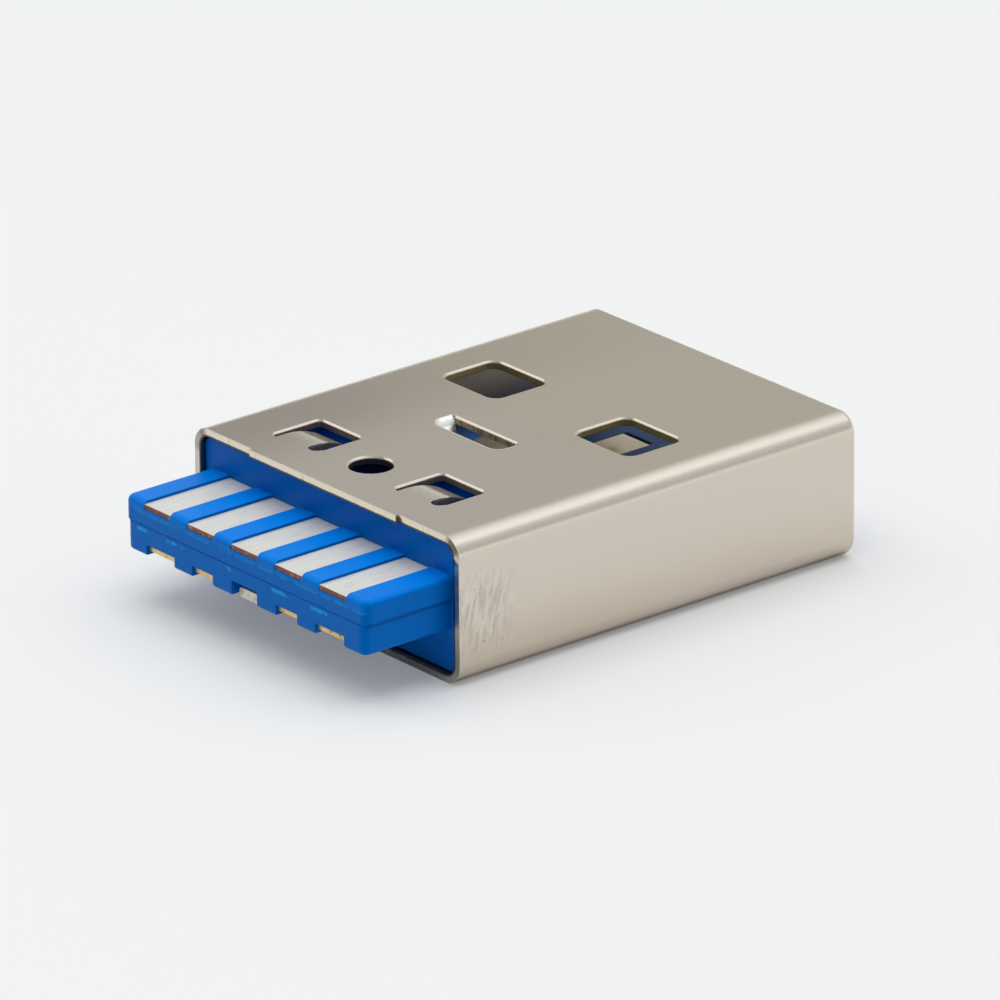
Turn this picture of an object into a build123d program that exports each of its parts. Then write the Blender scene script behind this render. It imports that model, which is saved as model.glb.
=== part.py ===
from build123d import *
from math import asin, degrees, hypot
import os

# A straight nine-way USB-A plug for soldering. Millimetres, +Z up, +Y towards the mouth,
# +X across. The origin is the centre of the underside of the plug's own bounding box.

# Overall sizes
SHELL_WIDTH = 12.0
SHELL_HEIGHT = 4.5
SHELL_LENGTH = 14.95
TAIL_LENGTH = 2.98
SHEET = 0.25
FIT = 0.05
OVERRUN = 1.0

# Shell: long bends, coined mouth, die roll where the windows are punched in
BEND_RADIUS = 0.64
MOUTH_ROUND = 0.2
DIE_ROLL = 0.055

# Shell: the two latch windows, the same above and below
LATCH_WIDTH = 2.5
LATCH_LENGTH = 2.07
LATCH_SPACING = 6.0
LATCH_FROM_MOUTH = 5.13
LATCH_CORNER = 0.35

# Shell: the rear windows, the hole and the lip are punched a little left of the middle
PUNCH_OFFSET = 0.12

# Shell: rear windows, each with a tongue bent down into the moulding
LOCK_WIDTH = 1.95
LOCK_LENGTH = 1.8
LOCK_SPACING = 5.55
LOCK_FROM_REAR = 1.15
LOCK_CORNER = 0.17
TONGUE_WIDTH = 1.2
TONGUE_OFFSET = 0.12
TONGUE_ROOT = 0.3
TONGUE_RUN = 1.3
TONGUE_DROP = 0.35
TONGUE_CORNER = 0.2

# Shell: round hole in the top
HOLE_RADIUS = 0.65
HOLE_FROM_REAR = 1.8

# Shell: lip cut across the top between the windows and pressed inwards
LIP_WIDTH = 2.85
LIP_LENGTH = 0.74
LIP_PLACE_SHARE = 0.646
LIP_DEPTH = 0.5
LIP_SLOPE_RUN = 0.1
LIP_WALL = 0.24
LIP_CORNER = 0.3
LIP_ROUND = 0.2

# Shell: butt seam along the bottom with one dovetail key, and the carrier stub
SEAM_GAP = 0.05
KEY_REACH = 0.9
KEY_NECK = 1.3
KEY_HEAD = 2.0
KEY_FROM_REAR = 7.0
STUB_WIDTH = 6.65
STUB_REACH = 0.1

# Mouldings: base block, forward tongue and the joint plane between the halves
BASE_RECESS = 0.16
PARTING_HEIGHT = 2.5
PARTING_BEVEL = 0.02
BLOCK_TO_LIP = 0.41
BLOCK_BEVEL = 0.2
TONGUE_TOP = 2.25
TONGUE_SIDE_GAP = 0.1
TONGUE_RECESS = 0.5
TONGUE_EDGE = 0.25
TONGUE_LEAD = 0.3
POCKET_MARGIN = 0.12
LATCH_POCKET_DEPTH = 0.8
LOCK_POCKET_DEPTH = 0.6
PIT_DEPTH = 0.8

# Mouldings: solder tail block
TAIL_INSET = 0.2
TAIL_STEP = 0.07
TAIL_CORNER = 0.25
TAIL_BOTTOM = 1.58
RIB_TOP = 3.25
RIB_ROUND = 0.2
FOOT_ROUND = 0.12

# Upper contacts: five strips, solder pads behind and springs in front
SPRING_COUNT = 5
SPRING_PITCH = 2.0
SPRING_SHEET = 0.15
PAD_WIDTH = 1.2
PAD_TOP = 3.17
PAD_SHORT = 0.02
PAD_NECK_FROM_REAR = 1.0
STEP_RUN = 0.8
STEP_FROM_FRONT = 1.2
BEAM_WIDTH = 0.7
BEAM_HEIGHT = 2.64
BEAM_FLAT = 0.5
BUMP_REACH = 1.7
BUMP_HEIGHT = 3.2
TIP_REACH = 0.8
TIP_HEIGHT = 2.5
TIP_WIDTH = 0.5
SPRING_BEND = 0.35
SLOT_CLEARANCE = 0.1
SLOT_DEPTH = 0.2

# Lower contacts: four strips, pads on the tongue in front and tails behind
FLAT_SHEET = 0.2
FLAT_TAIL_TOP = 1.94
FLAT_PAD_WIDTH = 1.2
INNER_PAD_PLACE = 1.0
OUTER_PAD_PLACE = 3.5
INNER_PAD_SHORT = 1.55
OUTER_PAD_SHORT = 0.8
INNER_TAIL_PLACE = 1.92
OUTER_TAIL_PLACE = 3.86
INNER_TAIL_WIDTH = 0.95
OUTER_TAIL_WIDTH = 1.28
FLAT_TAIL_SHORT = 0.1
FLAT_PAD_FROM_SLOT = 0.2
RAMP_RUN = 0.4
NOSE_RUN = 0.25
NOSE_DROP = 0.3
FLAT_BEND = 0.3
JOG_REAR_FROM_REAR = 2.5
JOG_FRONT_FROM_REAR = 6.0

# Middle tail under the block, in a deeper notch
GROUND_WIDTH = 0.95
GROUND_SHEET = 0.3
GROUND_CORNER = 0.1
GROUND_BOTTOM = 1.56
GROUND_SHORT = 0.2
GROUND_BURIED = 2.0
GROUND_NOTCH_WIDTH = 1.15
GROUND_NOTCH_TOP = 2.06

# Places along the plug
MOUTH_Y = (SHELL_LENGTH + TAIL_LENGTH) / 2
REAR_Y = MOUTH_Y - SHELL_LENGTH
TAIL_Y = REAR_Y - TAIL_LENGTH
BASE_Y = REAR_Y + BASE_RECESS
NOSE_Y = MOUTH_Y - TONGUE_RECESS
LATCH_END_Y = MOUTH_Y - LATCH_FROM_MOUTH - LATCH_LENGTH
LATCH_Y = LATCH_END_Y + LATCH_LENGTH / 2
LOCK_END_Y = REAR_Y + LOCK_FROM_REAR + LOCK_LENGTH
LOCK_Y = LOCK_END_Y - LOCK_LENGTH / 2
LIP_Y = LOCK_END_Y + LIP_PLACE_SHARE * (LATCH_END_Y - LOCK_END_Y)
BLOCK_Y = LIP_Y - LIP_LENGTH - BLOCK_TO_LIP
BUMP_Y = BLOCK_Y + BEAM_FLAT + BUMP_REACH
SLOT_END_Y = BUMP_Y + TIP_REACH + SPRING_SHEET + SLOT_CLEARANCE
BLOCK_WIDTH = SHELL_WIDTH - 2 * (SHEET + FIT)
TAIL_WIDTH = BLOCK_WIDTH - 2 * TAIL_INSET
SIDES = (-1, 1)

# Lower contacts from left to right: pad place, pad shortness, tail place, tail width
LOWER_CONTACTS = (
    (-OUTER_PAD_PLACE, OUTER_PAD_SHORT, -OUTER_TAIL_PLACE, OUTER_TAIL_WIDTH),
    (-INNER_PAD_PLACE, INNER_PAD_SHORT, -INNER_TAIL_PLACE, INNER_TAIL_WIDTH),
    (INNER_PAD_PLACE, INNER_PAD_SHORT, INNER_TAIL_PLACE, INNER_TAIL_WIDTH),
    (OUTER_PAD_PLACE, OUTER_PAD_SHORT, OUTER_TAIL_PLACE, OUTER_TAIL_WIDTH),
)


def across(y, z=0):
    """Drawing plane across the plug: X to the right, Z up, depth towards the rear."""
    return Plane(origin=(0, y, z), x_dir=(1, 0, 0), z_dir=(0, -1, 0))


def along(x):
    """Drawing plane along the plug: Y to the right, Z up, depth towards +X."""
    return Plane(origin=(x, 0, 0), x_dir=(0, 1, 0), z_dir=(1, 0, 0))


def raised(plan, low, high):
    """Upright solid of a plan outline between two heights."""
    return Pos(0, 0, low) * extrude(plan, high - low)


def strip_plan(x_low, x_high, y_low, y_high):
    """Rectangle in plan between two places each way."""
    return Pos((x_low + x_high) / 2, (y_low + y_high) / 2) * Rectangle(x_high - x_low, y_high - y_low)


# Shell
def folded_tube():
    """The sheet folded to a rectangular tube, its mouth rounded by coining."""
    outside = RectangleRounded(SHELL_WIDTH, SHELL_HEIGHT, BEND_RADIUS)
    inside = RectangleRounded(SHELL_WIDTH - 2 * SHEET, SHELL_HEIGHT - 2 * SHEET, BEND_RADIUS - SHEET)
    tube = extrude(across(MOUTH_Y, SHELL_HEIGHT / 2) * (outside - inside), SHELL_LENGTH)
    rim = tube.faces().sort_by(Axis.Y)[-1].outer_wire().edges()
    return fillet(rim, MOUTH_ROUND)


def latch_openings():
    """The pair of latch windows, punched through top and bottom alike."""
    window = RectangleRounded(LATCH_WIDTH, LATCH_LENGTH, LATCH_CORNER)
    pair = [Pos(side * LATCH_SPACING / 2, LATCH_Y) * window for side in SIDES]
    return raised(Sketch() + pair, -OVERRUN, SHELL_HEIGHT + OVERRUN)


def top_openings():
    """The two rear windows and the round hole, through the top wall only."""
    window = RectangleRounded(LOCK_WIDTH, LOCK_LENGTH, LOCK_CORNER)
    cuts = [Pos(lock_x(side), LOCK_Y) * window for side in SIDES]
    cuts += [Pos(-PUNCH_OFFSET, REAR_Y + HOLE_FROM_REAR) * Circle(HOLE_RADIUS)]
    return raised(Sketch() + cuts, SHELL_HEIGHT / 2, SHELL_HEIGHT + OVERRUN)


def lock_x(side):
    """Place across the plug of one rear window."""
    return side * LOCK_SPACING / 2 - PUNCH_OFFSET


def rolled(shell, highest):
    """Eases the punched edges on the top or the bottom face."""
    face = shell.faces().filter_by(Plane.XY).sort_by(Axis.Z)[-1 if highest else 0]
    edges = [edge for wire in face.inner_wires() for edge in wire.edges()]
    return chamfer(edges, DIE_ROLL)


def lock_tongue(side):
    """Tongue rooted at the rear of its window and bent down in one arc."""
    x = lock_x(side) - TONGUE_OFFSET
    root_y = REAR_Y + LOCK_FROM_REAR - DIE_ROLL - TONGUE_CORNER
    bend_y = REAR_Y + LOCK_FROM_REAR + TONGUE_ROOT
    radius = (TONGUE_RUN**2 + TONGUE_DROP**2) / (2 * TONGUE_DROP)
    turn = degrees(asin(TONGUE_RUN / radius))
    centre = (bend_y, SHELL_HEIGHT - radius)
    top = CenterArc(centre, radius, 90 - turn, turn)
    under = CenterArc(centre, radius - SHEET, 90 - turn, turn)
    ends = [Line(top @ 0, under @ 0), Line(top @ 1, under @ 1)]
    bent = make_face(Curve() + [top, under] + ends)
    flat = Pos((root_y + bend_y) / 2, SHELL_HEIGHT - SHEET / 2) * Rectangle(bend_y - root_y, SHEET)
    strip = extrude(along(x) * (bent + flat), TONGUE_WIDTH / 2, both=True)
    end_y = bend_y + TONGUE_RUN
    plan = Pos(x, (root_y + end_y) / 2) * RectangleRounded(TONGUE_WIDTH, end_y - root_y, TONGUE_CORNER)
    web = strip_plan(x, lock_x(side) + LOCK_WIDTH / 2 + DIE_ROLL, root_y, bend_y)
    return (strip & raised(plan, 0, SHELL_HEIGHT)) + raised(web, SHELL_HEIGHT - SHEET, SHELL_HEIGHT)


def slit_ends():
    """Round end of the slit at the right-hand root of each tongue."""
    slit = (LOCK_WIDTH - TONGUE_WIDTH) / 2 + TONGUE_OFFSET
    y = REAR_Y + LOCK_FROM_REAR + TONGUE_ROOT
    ends = [Pos(lock_x(side) + (LOCK_WIDTH - slit) / 2, y) * Circle(slit / 2) for side in SIDES]
    return raised(Sketch() + ends, SHELL_HEIGHT / 2, SHELL_HEIGHT + OVERRUN)


def lip_form(wall, depth):
    """Pocket with sloped sides below the top face, cut off straight at the lip's free edge."""
    inset = LIP_SLOPE_RUN / LIP_DEPTH * depth

    def outline(grow, z):
        width = LIP_WIDTH + 2 * grow
        length = 2 * (LIP_LENGTH + grow)
        return Pos(-PUNCH_OFFSET, LIP_Y, z) * RectangleRounded(width, length, LIP_CORNER)

    form = loft([outline(wall, SHELL_HEIGHT).face(), outline(wall - inset, SHELL_HEIGHT - depth).face()])
    behind = strip_plan(-SHELL_WIDTH, SHELL_WIDTH, REAR_Y, LIP_Y)
    return form & raised(behind, 0, SHELL_HEIGHT)


def pressed_lip(shell):
    """Adds the lip's metal below the sheet, then opens the pressed pocket above it."""
    wall = LIP_WALL * hypot(1, LIP_SLOPE_RUN / LIP_DEPTH)
    shell = shell + lip_form(wall, LIP_DEPTH + LIP_WALL) - lip_form(0, LIP_DEPTH)
    top = shell.faces().filter_by(Plane.XY).sort_by(Axis.Z)[-1]
    mouth = top.inner_wires().sort_by_distance(Vertex(0, LIP_Y, SHELL_HEIGHT))[0]
    shell = fillet(mouth.edges().sort_by(Axis.Y)[:-1], LIP_ROUND)
    corner = (LIP_Y, SHELL_HEIGHT)
    ahead, below = (LIP_Y + DIE_ROLL, SHELL_HEIGHT), (LIP_Y, SHELL_HEIGHT - DIE_ROLL)
    roll = make_face(Polyline(corner, ahead, below, close=True))
    return shell - extrude(along(-PUNCH_OFFSET) * roll, LIP_WIDTH / 2, both=True)


def seam():
    """Butt seam along the bottom; a dovetail key locks the two edges together."""
    y = REAR_Y + KEY_FROM_REAR
    key = make_face(Polyline(
        (-OVERRUN, y - KEY_NECK / 2), (0, y - KEY_NECK / 2), (KEY_REACH, y - KEY_HEAD / 2),
        (KEY_REACH, y + KEY_HEAD / 2), (0, y + KEY_NECK / 2), (-OVERRUN, y + KEY_NECK / 2), close=True))
    around = offset(key, SEAM_GAP, kind=Kind.INTERSECTION)
    around &= strip_plan(0, KEY_REACH + SEAM_GAP, REAR_Y, MOUTH_Y)
    line = strip_plan(0, SEAM_GAP, REAR_Y - OVERRUN, MOUTH_Y + OVERRUN)
    return raised(line + around - key, -OVERRUN, SHELL_HEIGHT / 2)


def carrier_stub():
    """What is left of the carrier strip on the rear edge of the top wall."""
    plan = strip_plan(-STUB_WIDTH / 2, STUB_WIDTH / 2, REAR_Y - STUB_REACH, REAR_Y)
    return raised(plan, SHELL_HEIGHT - SHEET, SHELL_HEIGHT)


def shell():
    body = folded_tube() - latch_openings() - top_openings()
    body = rolled(body, highest=True)
    body = rolled(body, highest=False)
    for side in SIDES:
        body = body + lock_tongue(side)
    body = body - slit_ends()
    body = pressed_lip(body)
    return body - seam() + carrier_stub()


# Upper contacts
def spring_place(number):
    """Place across the plug of one upper contact, numbered from the left."""
    return (number - (SPRING_COUNT + 1) / 2) * SPRING_PITCH


def spring_contact(x):
    """Solder pad, buried step, and a beam that rises to a bump and dips to its tip."""
    tail = TAIL_Y + PAD_SHORT
    pad = PAD_TOP - SPRING_SHEET / 2
    step = BLOCK_Y - STEP_FROM_FRONT
    line = FilletPolyline(
        (tail, pad), (step - STEP_RUN, pad), (step, BEAM_HEIGHT),
        (BLOCK_Y + BEAM_FLAT, BEAM_HEIGHT), (BUMP_Y, BUMP_HEIGHT),
        (BUMP_Y + TIP_REACH, TIP_HEIGHT), radius=SPRING_BEND)
    side_view = extrude(along(x) * trace(line, SPRING_SHEET), PAD_WIDTH, both=True)
    neck = REAR_Y + PAD_NECK_FROM_REAR
    tip = BUMP_Y + TIP_REACH + SPRING_SHEET
    half = [(PAD_WIDTH / 2, tail), (PAD_WIDTH / 2, neck), (BEAM_WIDTH / 2, neck + PAD_WIDTH - BEAM_WIDTH),
            (BEAM_WIDTH / 2, BUMP_Y), (TIP_WIDTH / 2, tip)]
    outline = [(x + w, y) for w, y in half] + [(x - w, y) for w, y in reversed(half)]
    return side_view & raised(make_face(Polyline(*outline, close=True)), 0, SHELL_HEIGHT)


# Lower contacts
def flat_contact(pad_x, pad_short, tail_x, tail_width):
    """Straight tail, plan jog, ramp up to the tongue's top, pad and a nose bent down."""
    pad_half, tail_half = FLAT_PAD_WIDTH / 2, tail_width / 2
    front = NOSE_Y - pad_short
    tail = TAIL_Y + FLAT_TAIL_SHORT
    low = FLAT_TAIL_TOP - FLAT_SHEET / 2
    high = TONGUE_TOP - FLAT_SHEET / 2
    ramp = SLOT_END_Y + FLAT_PAD_FROM_SLOT
    line = FilletPolyline(
        (tail, low), (ramp - RAMP_RUN, low), (ramp, high),
        (front - NOSE_RUN, high), (front, high - NOSE_DROP), radius=FLAT_BEND)
    side_view = extrude(along(pad_x) * trace(line, FLAT_SHEET), SHELL_WIDTH, both=True)
    jog_front = REAR_Y + JOG_FRONT_FROM_REAR
    jog_rear = REAR_Y + JOG_REAR_FROM_REAR
    left = [(tail_x - tail_half, tail), (tail_x - tail_half, jog_rear),
            (pad_x - pad_half, jog_front), (pad_x - pad_half, front + FLAT_SHEET)]
    right = [(tail_x + tail_half, tail), (tail_x + tail_half, jog_rear),
             (pad_x + pad_half, jog_front), (pad_x + pad_half, front + FLAT_SHEET)]
    outline = left + right[::-1]
    return side_view & raised(make_face(Polyline(*outline, close=True)), 0, SHELL_HEIGHT)


def ground_tail():
    """Thicker strip with rounded long edges, buried in the base and free in its notch."""
    low, high = TAIL_Y + GROUND_SHORT, BASE_Y + GROUND_BURIED
    middle = GROUND_BOTTOM + GROUND_SHEET / 2
    section = across(high, middle) * RectangleRounded(GROUND_WIDTH, GROUND_SHEET, GROUND_CORNER)
    return extrude(section, high - low)


# Mouldings
def base_block():
    """Both halves of the base together: fills the shell's rear with a running fit."""
    profile = RectangleRounded(BLOCK_WIDTH, SHELL_HEIGHT - 2 * (SHEET + FIT), BEND_RADIUS - SHEET - FIT)
    block = extrude(across(BLOCK_Y, SHELL_HEIGHT / 2) * profile, BLOCK_Y - BASE_Y)
    front = block.faces().sort_by(Axis.Y)[-1].edges()
    return chamfer(front, BLOCK_BEVEL)


def tail_plan(width):
    """Outline of the tail block, rounded at its two rear corners, run into the base."""
    front = BASE_Y + BASE_RECESS
    plan = strip_plan(-width / 2, width / 2, TAIL_Y, front)
    return fillet(plan.vertices().group_by(Axis.Y)[0], TAIL_CORNER)


def tongue_body():
    """Long tongue under the cavity, with a lead at its nose."""
    low = SHEET + FIT
    width = BLOCK_WIDTH - 2 * TONGUE_SIDE_GAP
    rear = BLOCK_Y - BLOCK_BEVEL
    profile = Pos(0, (low + TONGUE_TOP) / 2) * Rectangle(width, TONGUE_TOP - low)
    profile = fillet(profile.vertices().group_by(Axis.Y)[0], TONGUE_EDGE)
    body = extrude(across(NOSE_Y) * profile, NOSE_Y - rear)
    nose = body.faces().sort_by(Axis.Y)[-1].edges().sort_by(Axis.Z)[-1]
    return chamfer(nose, TONGUE_LEAD)


def upper_housing(springs):
    block = split(base_block(), bisect_by=Plane.XY.offset(PARTING_HEIGHT), keep=Keep.TOP)
    tail = raised(tail_plan(TAIL_WIDTH), PARTING_HEIGHT, RIB_TOP)
    rounded = tail.faces().sort_by(Axis.Z)[-1].edges().sort_by(Axis.Y)[:-1]
    tail = fillet(rounded, RIB_ROUND)
    bevelled = tail.faces().sort_by(Axis.Z)[0].edges().sort_by(Axis.Y)[:-1]
    tail = chamfer(bevelled, PARTING_BEVEL)
    for number in range(1, SPRING_COUNT + 1):
        x = spring_place(number)
        channel = strip_plan(x - PAD_WIDTH / 2, x + PAD_WIDTH / 2, TAIL_Y - OVERRUN, BASE_Y + OVERRUN)
        tail = tail - raised(channel, PAD_TOP - SPRING_SHEET, RIB_TOP + OVERRUN)
    body = block + tail
    top = SHELL_HEIGHT - SHEET - FIT
    pocket = Rectangle(LOCK_WIDTH + 2 * POCKET_MARGIN, LOCK_LENGTH + 2 * POCKET_MARGIN)
    pockets = Sketch() + [Pos(lock_x(side), LOCK_Y) * pocket for side in SIDES]
    body = body - raised(pockets, top - LOCK_POCKET_DEPTH, top + OVERRUN)
    pit = Pos(-PUNCH_OFFSET, REAR_Y + HOLE_FROM_REAR) * Circle(HOLE_RADIUS + FIT)
    body = body - raised(pit, top - PIT_DEPTH, top + OVERRUN)
    for spring in springs:
        body = body - spring
    return body


def lower_housing(flats, ground):
    block = split(base_block(), bisect_by=Plane.XY.offset(PARTING_HEIGHT), keep=Keep.BOTTOM)
    tail = raised(tail_plan(TAIL_WIDTH - 2 * TAIL_STEP), TAIL_BOTTOM, PARTING_HEIGHT)
    for _, _, x, width in LOWER_CONTACTS:
        notch = strip_plan(x - width / 2, x + width / 2, TAIL_Y - OVERRUN, BASE_Y + OVERRUN)
        tail = tail - raised(notch, TAIL_BOTTOM - OVERRUN, FLAT_TAIL_TOP)
    middle = strip_plan(-GROUND_NOTCH_WIDTH / 2, GROUND_NOTCH_WIDTH / 2, TAIL_Y - OVERRUN, BASE_Y + OVERRUN)
    tail = tail - raised(middle, TAIL_BOTTOM - OVERRUN, GROUND_NOTCH_TOP)
    feet = tail.faces().filter_by(Plane.XY).group_by(Axis.Z)[0]
    edges = [edge for foot in feet for edge in foot.edges().sort_by(Axis.Y)[:-1]]
    tail = fillet(edges, FOOT_ROUND)
    body = block + tail + tongue_body()
    for number in range(1, SPRING_COUNT + 1):
        x = spring_place(number)
        half = BEAM_WIDTH / 2 + SLOT_CLEARANCE
        slot = strip_plan(x - half, x + half, BLOCK_Y, SLOT_END_Y)
        body = body - raised(slot, TONGUE_TOP - SLOT_DEPTH, TONGUE_TOP)
    pocket = Rectangle(LATCH_WIDTH + 2 * POCKET_MARGIN, LATCH_LENGTH + 2 * POCKET_MARGIN)
    pockets = Sketch() + [Pos(side * LATCH_SPACING / 2, LATCH_Y) * pocket for side in SIDES]
    body = body - raised(pockets, 0, SHEET + FIT + LATCH_POCKET_DEPTH)
    for strip in flats + [ground]:
        body = body - strip
    return body


# Every piece under its own name
springs = [spring_contact(spring_place(number)) for number in range(1, SPRING_COUNT + 1)]
flats = [flat_contact(*sizes) for sizes in LOWER_CONTACTS]
ground = ground_tail()

pieces = {
    "shell": shell(),
    "upper_housing": upper_housing(springs),
    "lower_housing": lower_housing(flats, ground),
    "ground_tail": ground,
}
for number, spring in enumerate(springs, start=1):
    pieces[f"spring_contact_{number}"] = spring
for number, flat in enumerate(flats, start=1):
    pieces[f"flat_contact_{number}"] = flat

os.makedirs("parts", exist_ok=True)
for name, piece in pieces.items():
    export_step(piece, f"parts/{name}.step")
    print(name, "solids", len(piece.solids()), "volume", round(piece.volume, 3))
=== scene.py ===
from math import pi, radians

import bmesh
import bpy
from mathutils import Matrix, Vector


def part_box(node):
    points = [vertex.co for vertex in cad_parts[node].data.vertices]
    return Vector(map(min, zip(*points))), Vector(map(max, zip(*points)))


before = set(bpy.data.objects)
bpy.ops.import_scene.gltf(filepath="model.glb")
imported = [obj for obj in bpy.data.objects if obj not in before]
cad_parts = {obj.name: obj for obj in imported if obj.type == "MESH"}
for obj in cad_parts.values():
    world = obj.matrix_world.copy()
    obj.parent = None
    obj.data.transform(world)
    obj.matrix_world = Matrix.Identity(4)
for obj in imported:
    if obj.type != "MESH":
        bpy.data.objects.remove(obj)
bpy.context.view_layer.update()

# Camera
# The plug lies on its flat side and is seen from behind and above, over its solder tails,
# through a long lens that keeps the long edges almost parallel.
VIEW_AZIMUTH = radians(50.447)
VIEW_ELEVATION = radians(21.896)
VIEW_ROLL = radians(-0.47)
VIEW_DISTANCE = 0.3003
VIEW_AIM = Vector((0.002744, -0.001778, 0.003651))
SENSOR_WIDTH = 36
LENS_SHARE = 10.50966
CLIP_SHARE = 10

lens = bpy.data.cameras.new("camera")
lens.sensor_width = SENSOR_WIDTH
lens.lens = SENSOR_WIDTH * LENS_SHARE
lens.clip_start = VIEW_DISTANCE / CLIP_SHARE
lens.clip_end = VIEW_DISTANCE * CLIP_SHARE
camera = bpy.data.objects.new("camera", lens)
turn = Matrix.Rotation(VIEW_AZIMUTH, 3, "Z") @ Matrix.Rotation(pi / 2 - VIEW_ELEVATION, 3, "X")
turn = turn @ Matrix.Rotation(VIEW_ROLL, 3, "Z")
camera.matrix_world = Matrix.Translation(VIEW_AIM + VIEW_DISTANCE * turn.col[2]) @ turn.to_4x4()
bpy.context.scene.collection.objects.link(camera)
bpy.context.scene.camera = camera

# Lower contacts
# Four flat strips cut from copper alloy sheet and flashed with pale gold, pressed into the lower
# moulding. Their cut ends show in the notches under the tail block, and their pads in the windows.
GOLD = (0.90, 0.81, 0.60, 1)
GOLD_DULL = (0.80, 0.68, 0.44, 1)
GOLD_END = (0.82, 0.60, 0.25, 1)
GOLD_END_STAIN = (0.35, 0.20, 0.08, 1)
MILLIMETRES = 1000
SQUARE_ON = (0.7, 0.9)
STRIP_GRAIN = 30
STRIP_ROUNDING = 0.03


class Shade:
    """A socket of a material. Sums on it add Math nodes, and node() adds a node of any other kind."""

    def __init__(self, tree, socket=None):
        self.tree = tree
        self.socket = socket

    def node(self, kind, settings=None, inputs=None, output=0):
        made = self.tree.nodes.new("ShaderNode" + kind)
        for name, value in (settings or {}).items():
            setattr(made, name, value)
        for name, value in (inputs or {}).items():
            if isinstance(value, Shade):
                self.tree.links.new(value.socket, made.inputs[name])
            else:
                made.inputs[name].default_value = value
        return Shade(self.tree, made.outputs[output])

    def math(self, operation, *others):
        return self.node("Math", {"operation": operation}, dict(enumerate((self, *others))))

    def vector(self, operation, other=(0, 0, 0), output="Vector"):
        return self.node("VectorMath", {"operation": operation}, {0: self, 1: other}, output)

    def __add__(self, other):
        return self.math("ADD", other)

    def __sub__(self, other):
        return self.math("SUBTRACT", other)

    def __mul__(self, other):
        return self.math("MULTIPLY", other)

    def __rsub__(self, other):
        return self.node("Math", {"operation": "SUBTRACT"}, {0: other, 1: self})

    def __neg__(self):
        return self * -1

    __radd__ = __add__
    __rmul__ = __mul__


def finish(name):
    """New material: its starting shade and its surface node."""
    material = bpy.data.materials.new(name)
    material.use_nodes = True
    tree = material.node_tree
    tree.nodes.clear()
    surface = tree.nodes.new("ShaderNodeBsdfPrincipled")
    output = tree.nodes.new("ShaderNodeOutputMaterial")
    tree.links.new(surface.outputs[0], output.inputs["Surface"])
    return material, Shade(tree), surface


def place(start):
    """Place on the object in millimetres."""
    metres = start.node("TexCoord", output="Object")
    return start.node("VectorMath", {"operation": "SCALE"}, {0: metres, "Scale": MILLIMETRES})


def axis(vector, name):
    return vector.node("SeparateXYZ", inputs={0: vector}, output=name)


def facing(start, name):
    """How far the surface faces along one axis."""
    return axis(start.node("NewGeometry", output="Normal"), name)


def ease(value, low, high):
    """Rises smoothly from 0 to 1 between two values."""
    limits = {"Value": value, "From Min": low, "From Max": high}
    return value.node("MapRange", {"interpolation_type": "SMOOTHSTEP"}, limits)


def noise(where, scale, detail=3, rough=0.5):
    """Cloudy pattern from 0 to 1, with a scale in clouds a millimetre."""
    inputs = {"Vector": where, "Scale": scale, "Detail": detail, "Roughness": rough}
    return where.node("TexNoise", inputs=inputs)


def patches(where, scale, low, high):
    """The parts of a cloudy pattern above a level, with soft edges."""
    return ease(noise(where, scale), low, high)


def blend(mask, start, end):
    """Colour between two colours."""
    return mask.node("Mix", {"data_type": "RGBA"}, {0: mask, 6: start, 7: end}, 2)


def relief(height, depth, rounding):
    """Bumps of a depth in millimetres on edges rounded by a radius in millimetres."""
    rounded = height.node("Bevel", {"samples": 4}, {"Radius": rounding / MILLIMETRES})
    inputs = {"Height": height, "Distance": depth / MILLIMETRES, "Normal": rounded}
    return height.node("Bump", inputs=inputs)


def paint(surface, values):
    """Sets the sockets of a surface to values or links."""
    for name, value in values.items():
        if isinstance(value, Shade):
            value.tree.links.new(value.socket, surface.inputs[name])
        else:
            surface.inputs[name].default_value = value


def dress(nodes, material):
    """Gives CAD nodes a material."""
    for name in nodes:
        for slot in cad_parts[name].material_slots:
            slot.material = material


gold, start, surface = finish("gold_plate")
where = place(start)
dull = patches(where, 1.4, 0.45, 0.75)
stain = patches(where, 5, 0.55, 0.68)
end = ease(-facing(start, "Y"), *SQUARE_ON)
paint(surface, {
    "Metallic": 0.85,
    "Base Color": blend(end, blend(dull, GOLD, GOLD_DULL), blend(stain, GOLD_END, GOLD_END_STAIN)),
    "Roughness": 0.3 + 0.15 * dull + 0.1 * end,
    "Normal": relief(noise(where, STRIP_GRAIN, 2), 0.003, STRIP_ROUNDING),
})
dress([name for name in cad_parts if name.startswith("flat_contact")], gold)

# Ground tail
# One thicker strip with rounded long edges, tinned, in the middle notch under the tail block.
# It is buried in the base like the other tails, and stands a little lower than they do.
TIN_CREAM = (0.86, 0.83, 0.70, 1)
TIN_GREY = (0.60, 0.57, 0.48, 1)

cream_tin, start, surface = finish("cream_tin")
where = place(start)
grey = patches(where, 4, 0.45, 0.7)
paint(surface, {
    "Metallic": 0.3,
    "Base Color": blend(grey, TIN_CREAM, TIN_GREY),
    "Roughness": 0.4 + 0.15 * grey,
    "Normal": relief(noise(where, STRIP_GRAIN, 2), 0.005, 0.05),
})
dress(["ground_tail"], cream_tin)

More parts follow.
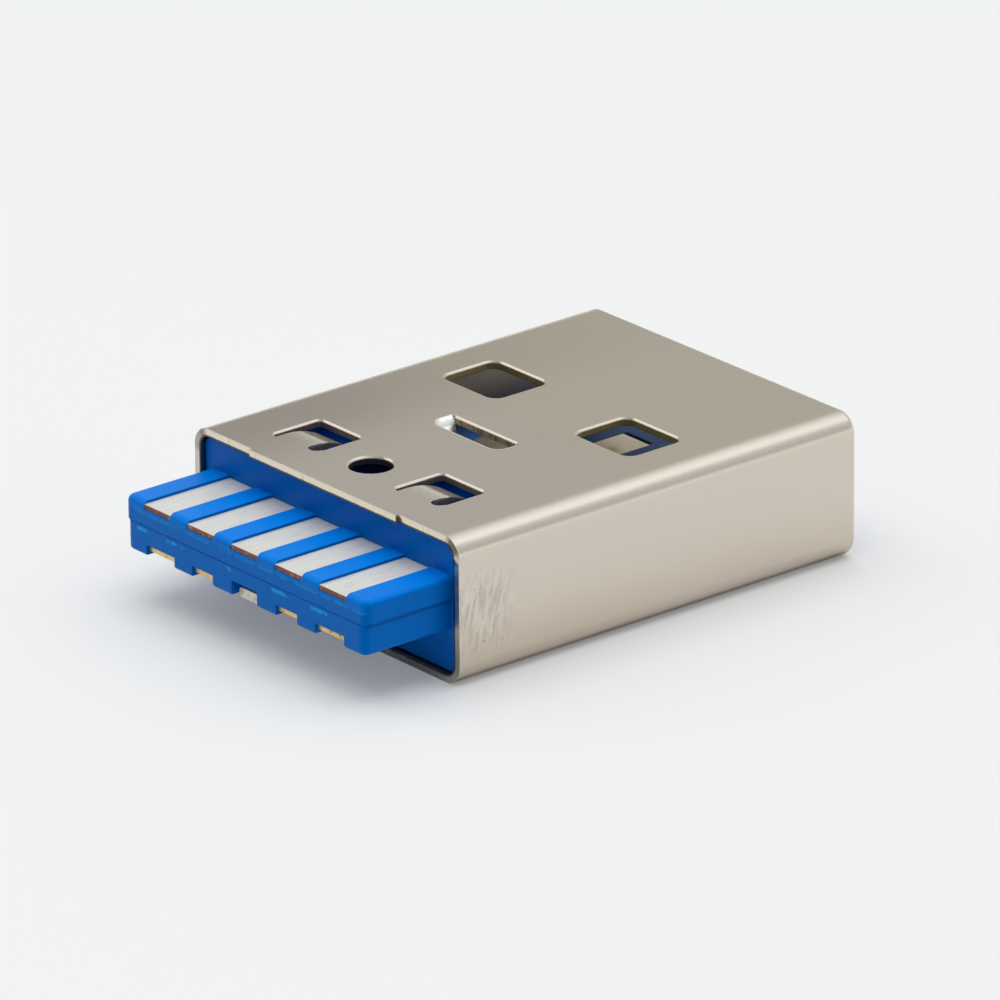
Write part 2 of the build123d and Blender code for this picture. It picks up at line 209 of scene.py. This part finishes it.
# Upper contacts
# Five strips cut from copper alloy sheet and moulded into the upper half. Their solder pads are
# matt tin on top, the cut ends show the bare alloy, and the sprung ends inside are gold.
TIN = (0.80, 0.80, 0.775, 1)
TIN_WARM = (0.80, 0.76, 0.64, 1)
TIN_DULL = (0.72, 0.72, 0.69, 1)
COPPER = (0.22, 0.085, 0.055, 1)
COPPER_PALE = (0.40, 0.20, 0.12, 1)
TIN_LENGTH = 3.5
TIN_FADE = 0.6
WARM_LENGTH = 0.5
DRAWN = (1, 0.15, 1)

pad_tin, start, surface = finish("pad_tin")
where = place(start)
tail_low, tail_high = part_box("spring_contact_1")
TAIL_END = tail_low[1] * MILLIMETRES
from_end = axis(where, "Y") - TAIL_END
spring = ease(from_end, TIN_LENGTH, TIN_LENGTH + TIN_FADE)
warm_tone_and_reflection = (1 - ease(from_end, 0, WARM_LENGTH)) * patches(where, 3, 0.35, 0.65)
cloud = ease(noise(where.vector("MULTIPLY", DRAWN), 7, 4), 0.4, 0.75)
cut = ease(-facing(start, "Y"), *SQUARE_ON) * (1 - spring)
tin = blend(warm_tone_and_reflection, blend(cloud, TIN, TIN_DULL), TIN_WARM)
copper = blend(patches(where, 9, 0.5, 0.7), COPPER, COPPER_PALE)
paint(surface, {
    "Metallic": 0.3 + 0.5 * spring + 0.3 * cut,
    "Base Color": blend(cut, blend(spring, tin, GOLD), copper),
    "Roughness": 0.46 - 0.15 * spring + 0.08 * noise(where, STRIP_GRAIN),
    "Normal": relief(noise(where, 28), 0.004, STRIP_ROUNDING),
})
dress([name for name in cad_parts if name.startswith("spring_contact")], pad_tin)

# Housings
# Two halves of one blue moulding, in filled plastic, closed over the contacts. The skin is smooth
# from the mould, with a little pale flash along the joint. Shade is painted on the upright faces,
# in the joint's groove, on the tongue inside the shell and at the bottom of the hole.
BLUE = (0.0, 0.21, 0.79, 1)
BLUE_DEEP = (0.0, 0.19, 0.73, 1)
BLUE_UPRIGHT_SHADE = (0.0, 0.13, 0.52, 1)
BLUE_TONGUE_SHADE = (0.05, 0.17, 0.52, 1)
BLUE_FLASH = (0.01, 0.42, 0.85, 1)
BLUE_SHADE = (0.004, 0.012, 0.06, 1)
BLUE_SHEEN = (0.0, 0.5, 1.0, 1)
HOLE_PLACE = (-0.12, -4.185)
HOLE_REACH = 0.78
HOLE_TOP = (3.2, 3.3)
JOINT_HEIGHT = 2.5
RIB_FOOT = 2.92
RIB_FADE = 0.03
END_FADE = 0.1
TONGUE_ROOT = (-2, -1)
FLASH_HEIGHT = 2.39
FLASH_HALF = 0.035
FLASH_FADE = 0.03
FLASH_PLACES = (-4.6, -3.2, -0.9, 1.6, 3.4)
FLASH_REACH = 0.3
UPRIGHT = (0.75, 0.3)


def near(value, middle, reach, fade):
    """1 within a reach of a middle, falling to 0 over the fade beyond it."""
    return 1 - ease((value - middle).math("ABSOLUTE"), reach, reach + fade)


def hole_reach(x, y):
    """1 under and on the wall of the round hole."""
    return near(x, HOLE_PLACE[0], HOLE_REACH, 0.02) * near(y, HOLE_PLACE[1], HOLE_REACH, 0.02)


blue, start, surface = finish("blue_plastic")
where = place(start)
fine = noise(where, 24)
x, y, z = (axis(where, name) for name in "XYZ")
tail_end = 1 - ease(y, TAIL_END, TAIL_END + END_FADE)
rib_end = tail_end * ease(z, RIB_FOOT - RIB_FADE, RIB_FOOT + RIB_FADE)
# Painted shade: faces that stand upright are darker than faces turned up, less so at the rib ends
upright_shade = ease(facing(start, "Z"), *UPRIGHT) * (1 - 0.55 * rib_end)
# Painted shadow in the groove of the joint, on the tail's sides
joint_shadow = near(z, JOINT_HEIGHT, 0.02, 0.09) * ease(facing(start, "X"), *SQUARE_ON)
skin = blend(ease(noise(where, 0.7, 2), 0.4, 0.75), BLUE, BLUE_DEEP)
skin = blend(0.5 * joint_shadow, blend(0.85 * upright_shade, skin, BLUE_UPRIGHT_SHADE), BLUE_SHADE)
# Painted shade: the tongue inside the shell is a darker, greyer blue
skin = blend(ease(y, *TONGUE_ROOT), skin, BLUE_TONGUE_SHADE)

# Flash squeezed out at the joint and at the feet of the ribs
ragged = z + 0.05 * noise(where, 6)
spots = sum(near(x, middle, FLASH_REACH, FLASH_REACH / 2) for middle in FLASH_PLACES)
flash = 0.8 * spots * near(ragged, FLASH_HEIGHT, FLASH_HALF, FLASH_FADE)
flash = flash + 0.4 * near(ragged, RIB_FOOT - 0.02, 0.02, FLASH_FADE)
skin = blend(flash * tail_end * patches(where, 4, 0.4, 0.55), skin, BLUE_FLASH)
# Painted shade at the bottom of the round hole
hole_shade = hole_reach(x, y) * ease(z, *HOLE_TOP)
paint(surface, {
    "Base Color": blend(hole_shade, skin, BLUE_SHADE),
    "Roughness": 0.33 + 0.1 * fine,
    "Specular IOR Level": 0.14,
    "Specular Tint": BLUE_SHEEN,
    "Normal": relief(fine, 0.002, 0.08),
})
dress(["upper_housing", "lower_housing"], blue)

# Shell
# One stamped sheet of steel, nickel plated, folded round the mouldings and joined by a key
# underneath. The skin is satin with painted reflections and shade, the punched walls are torn
# and brown with painted light and shade, and one side is rubbed.
SHEET = 0.25
BEND = 0.64
NICKEL = (0.685, 0.618, 0.535, 1)
NICKEL_DIM_REFLECTION = (0.505, 0.445, 0.382, 1)
NICKEL_WARM_REFLECTION = (0.70, 0.62, 0.44, 1)
NICKEL_LOW_SHADE = (0.60, 0.525, 0.42, 1)
NICKEL_BEND_SHADE = (0.46, 0.38, 0.31, 1)
NICKEL_INSIDE_SHADE = (0.36, 0.32, 0.28, 1)

nickel, start, surface = finish("nickel_steel")
where = place(start)
x, y, z = (axis(where, name) for name in "XYZ")
to_right, to_rear, to_top = facing(start, "X"), -facing(start, "Y"), facing(start, "Z")
shell_low, shell_high = (Vector(corner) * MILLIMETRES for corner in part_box("shell"))
middle = (shell_low + shell_high) / 2
half = (shell_high - shell_low) / 2
from_rear = y - shell_low.y
from_mouth = shell_high.y - y

# Depth below the folded outer surface, from the middle lines of its four bends
folded = where.vector("SUBTRACT", (middle.x, 0, middle.z)).vector("ABSOLUTE")
beyond = folded.vector("SUBTRACT", (half.x - BEND, MILLIMETRES, half.z - BEND)).vector("MAXIMUM")
skin_depth = BEND - beyond.vector("LENGTH", output="Value")
inside = ease(skin_depth, SHEET - 0.02, SHEET - 0.005)

# Satin skin with painted reflections and shade: dimmer on the left of the top, warmer on the
# left-facing bend, at the mouth and on the far part of the top, and darker low on the right side and
# on the lower bend
MOUTH_WARM_REFLECTION = (0.16, 0.04)
FAR_SIDE = (3, 9)

drift = 1.5 * noise(where, 0.35, 2) - 0.75
fine = noise(where, 34)
top = ease(to_top, 0.93, 0.995)
# Painted reflection: the top darker towards the left, mostly near the rear
dim_light = top * ease(x + 0.5 * drift, -0.6, -4.8) * ease(from_rear, 22, 3)
# Painted warm reflection on the left-facing bend, at the mouth edge and on the far part of the top
warm_tone_and_reflection = ease(-to_right, 0.08, 0.35) * ease(to_right, -0.95, -0.6)
warm_tone_and_reflection = warm_tone_and_reflection.math("MAXIMUM", 0.7 * ease(from_mouth, *MOUTH_WARM_REFLECTION))
warm_tone_and_reflection = warm_tone_and_reflection.math("MAXIMUM", 0.35 * top * ease(from_rear, *FAR_SIDE))
# Painted shade low on the right side, less of it towards the mouth
low = ease(to_right, 0.7, 0.95) * ease(z + 0.3 * drift, 2.4, 0.6)
low = low * (1 - 0.5 * ease(from_rear, *FAR_SIDE))
# Painted shade on the lower bend, where it mirrors the shadow on the table
bend_shade = ease(z, 0, 0.06) * ease(z, 0.4, 0.12)
skin = blend(warm_tone_and_reflection, blend(dim_light, NICKEL, NICKEL_DIM_REFLECTION), NICKEL_WARM_REFLECTION)
skin = blend(0.5 * bend_shade, blend(0.7 * low, skin, NICKEL_LOW_SHADE), NICKEL_BEND_SHADE)

# Rub marks on the right-hand side, near the rear
RUBBED = (0.53, 0.485, 0.45, 1)
RUBBED_BRIGHT = (0.74, 0.68, 0.58, 1)
SPECK = (0.26, 0.22, 0.19, 1)
RUB_PLACE = (-5.2, 2.1)
RUB_LEAN = radians(13)
RUB_STRETCH = (1, 1, 0.2)

leaning = where.node("VectorRotate", {"rotation_type": "X_AXIS"}, {"Vector": where, "Angle": RUB_LEAN})
streaks = noise(leaning.vector("MULTIPLY", RUB_STRETCH), 5.5, 4, 0.65)
rub_zone = near(y, RUB_PLACE[0], 0.35, 1.3) * near(z, RUB_PLACE[1], 0.5, 1.1)
rub_zone = rub_zone * ease(to_right, 0.8, 0.95)
rub = ease(streaks, 0.5, 0.6) * rub_zone
shine = ease(streaks, 0.48, 0.38) * rub_zone
speck = ease(noise(where, 6, 1), 0.70, 0.76) * rub_zone
skin = blend(0.6 * shine, blend(0.65 * rub, skin, RUBBED), RUBBED_BRIGHT)
# The inner face of the sheet is painted dark as shade
skin = blend(inside, blend(speck, skin, SPECK), NICKEL_INSIDE_SHADE)

# Sheared edges at the rear and the mouth, scored across, with a ragged dark lower line of painted
# shade
SHEARED = (0.62, 0.57, 0.47, 1)
SCORED = (0.36, 0.33, 0.30, 1)
SHEARED_LOW_SHADE = (0.12, 0.085, 0.06, 1)
SCORE_STRETCH = (1, 1, 0.1)
EDGE_FACING = (0.5, 0.8)
REAR_EDGE = (0.2, 0.13)
MOUTH_EDGE = (0.1, 0.05)
UPPER_SIDE = (3.65, 3.95)

tears = noise(where.vector("MULTIPLY", SCORE_STRETCH), 11)
edge = ease(to_rear, *EDGE_FACING) * ease(from_rear, *REAR_EDGE)
rolled = edge * ease(z, *UPPER_SIDE)
edge = edge + ease(-to_rear, *EDGE_FACING) * ease(from_mouth, *MOUTH_EDGE)
sheared = blend(0.7 * ease(tears, 0.60, 0.68), SHEARED, SCORED)
# Painted shade: a ragged dark line along the inner side of the sheared edges
sheared = blend(ease(skin_depth + 0.03 * tears, 0.2, 0.225), sheared, SHEARED_LOW_SHADE)

# Punched walls, torn and brown with dark streaks; the lip wall is painted lit, the rear walls and the
# hole in painted shade, and the latch walls are olive
TORN_REAR_SHADE = (0.20, 0.165, 0.14, 1)
TORN_LIP_LIT = (0.44, 0.37, 0.23, 1)
TORN_LATCH = (0.34, 0.27, 0.09, 1)
TORN_STREAK_AND_HOLE_SHADE = (0.055, 0.045, 0.08, 1)
LIP_Y = 0.066
LATCH_START = (0.9, 1.0)

torn = ease(skin_depth + 0.06 * tears, 0.085, 0.12) * (1 - inside) * (1 - edge)
at_lip = near(y, LIP_Y, 0.3, 0.1)
# The rear walls are painted in shade and the lip wall is painted lit
wall = blend(at_lip, TORN_REAR_SHADE, TORN_LIP_LIT)
wall = blend(ease(y, *LATCH_START), wall, TORN_LATCH)
# Painted shade on the walls of the round hole; the same dark colour also draws the torn streaks
wall = blend(hole_reach(x, y), wall, TORN_STREAK_AND_HOLE_SHADE)
wall = blend((0.15 + 0.4 * at_lip) * ease(tears, 0.45, 0.6), wall, TORN_STREAK_AND_HOLE_SHADE)
metal = blend(edge, blend(torn, skin, wall), sheared)

# The steep end of the pressed lip, painted bright as a highlight and tilted by bumps towards the
# light, and the rolled side of the rear edge, tilted by bumps
NICKEL_LIP_HIGHLIGHT = (0.96, 0.94, 0.90, 1)
LIP_PLACE = (-1.5, -0.4)
LIP_MIDDLE = 4.25
LIP_TILT = 250
EDGE_TILT = 290

lip = near(x, LIP_PLACE[0], 0.3, 0.03) * near(y, LIP_PLACE[1], 0.45, 0.04) * ease(z, 3.7, 3.8)
steep = lip * ease(to_right, 0.6, 0.9)
# Painted highlight on the steep end of the lip
metal = blend(lip * ease(to_right, 0.1, 0.3), metal, NICKEL_LIP_HIGHLIGHT)
height = 0.6 * fine + 3 * tears * (edge + torn) + 2 * rub
height = height - LIP_TILT * steep * (z - LIP_MIDDLE) + EDGE_TILT * rolled * skin_depth
paint(surface, {
    "Metallic": 1 - 0.55 * torn - 0.05 * edge,
    "Base Color": metal,
    "Roughness": 0.24 + 0.05 * fine + 0.25 * torn + 0.04 * edge + 0.1 * inside + 0.1 * rub,
    "Normal": relief(height, 0.003, 0.04),
})
dress(["shell"], nickel)

# Table and light
# A pale table in a pale room. A ceiling light spreads from above and behind, cut off by a straight
# edge that marks the bend, a lamp overhead keeps the shadow close, and haze pales the shadow.
TABLE_REACH = 0.35
TABLE_COLOUR = (0.845, 0.84, 0.835, 1)
HAZE_COLOUR = (0.88, 0.895, 0.91, 1)
HAZE = 0.2
LAMP_SIZE = 0.4
LAMP_PLACE = Vector((-0.02, -0.06, 0.40))
LAMP_POWER = 0.67

table_top, start, surface = finish("table")
paint(surface, {"Base Color": TABLE_COLOUR, "Roughness": 0.9, "Specular IOR Level": 0.1})
haze = start.node("Emission", inputs={"Color": HAZE_COLOUR, "Strength": 1})
camera_ray = start.node("LightPath", output="Is Camera Ray")
lit = Shade(start.tree, surface.outputs[0])
mixed = start.node("MixShader", inputs={0: HAZE * camera_ray, 1: lit, 2: haze})
output = start.tree.nodes["Material Output"]
start.tree.links.new(mixed.socket, output.inputs["Surface"])
mesh = bpy.data.meshes.new("table")
form = bmesh.new()
bmesh.ops.create_grid(form, x_segments=1, y_segments=1, size=TABLE_REACH)
form.to_mesh(mesh)
form.free()
mesh.materials.append(table_top)
table = bpy.data.objects.new("table", mesh)
bpy.context.scene.collection.objects.link(table)

bulb = bpy.data.lights.new("lamp", "AREA")
bulb.size = LAMP_SIZE
bulb.energy = LAMP_POWER
lamp = bpy.data.objects.new("lamp", bulb)
lamp.location = LAMP_PLACE
lamp.visible_glossy = False
bpy.context.scene.collection.objects.link(lamp)

# Room
# Plain walls, brighter low down at the far side and at one window, dim behind the viewer, and the
# ceiling light over them. The camera itself sees a plain pale backdrop.
ROOM_LEVEL = 0.465
ROOM_COLOUR = (0.99, 1, 0.985, 1)
CEILING_WAY = Vector((0.25, 0.25, 0.93))
CEILING_GAIN = 1.1
CEILING_COLOUR = (0.97, 1.01, 1.05, 1)
CEILING_FALL = 3
CEILING_EDGE = (radians(27), radians(34))
CEILING_CUT = 0.5
OVERHEAD_CUT = 0.42
OVERHEAD_HEIGHT = (0.84, 0.96)
HORIZON_GAIN = 0.65
HORIZON_HEIGHT = (0.08, 0.25)
HORIZON_SIDE = (0.1, 0.4)
WINDOW_WAY = Vector((-0.71, -0.38, 0.59))
WINDOW_GAIN = 0.85
WINDOW_EDGE = (0.90, 0.97)
VIEWER_WAY = Vector((0.5, -0.85, 0))
VIEWER_DIM = -0.34
VIEWER_EDGE = (0, 0.3)
BACKDROP = (0.9, 0.9, 0.9, 1)

room = bpy.data.worlds.new("room")
bpy.context.scene.world = room
room.use_nodes = True
room.node_tree.nodes.clear()
start = Shade(room.node_tree)
towards = start.node("TexCoord", output="Generated")
x, y, z = (axis(towards, name) for name in "XYZ")


def aligned(way):
    """How far the direction lies along a way, from 0 to 1."""
    return towards.vector("DOT_PRODUCT", way.normalized(), "Value").math("MAXIMUM", 0.0)


ceiling = CEILING_GAIN * aligned(CEILING_WAY).math("POWER", CEILING_FALL)
ceiling = ceiling * (1 - CEILING_CUT * ease(x.math("ARCTAN2", z), *CEILING_EDGE))
glossy = start.node("LightPath", output="Is Glossy Ray")
ceiling = ceiling * (1 - OVERHEAD_CUT * glossy * ease(z, *OVERHEAD_HEIGHT))
horizon = HORIZON_GAIN * (1 - ease(z, *HORIZON_HEIGHT)) * ease(y, *HORIZON_SIDE)
window = WINDOW_GAIN * ease(aligned(WINDOW_WAY), *WINDOW_EDGE)
dim_light = VIEWER_DIM * ease(aligned(VIEWER_WAY), *VIEWER_EDGE)
walls = ROOM_LEVEL + horizon + window + dim_light
lit = start.node("Background", inputs={"Color": ROOM_COLOUR, "Strength": walls})
above = start.node("Background", inputs={"Color": CEILING_COLOUR, "Strength": ceiling})
lit = start.node("AddShader", inputs={0: lit, 1: above})
backdrop = start.node("Background", inputs={"Color": BACKDROP, "Strength": 1})
camera_ray = start.node("LightPath", output="Is Camera Ray")
mixed = start.node("MixShader", inputs={0: camera_ray, 1: lit, 2: backdrop})
output = room.node_tree.nodes.new("ShaderNodeOutputWorld")
room.node_tree.links.new(mixed.socket, output.inputs["Surface"])

# Finish
# The view is plain.
bpy.context.scene.view_settings.view_transform = "Standard"
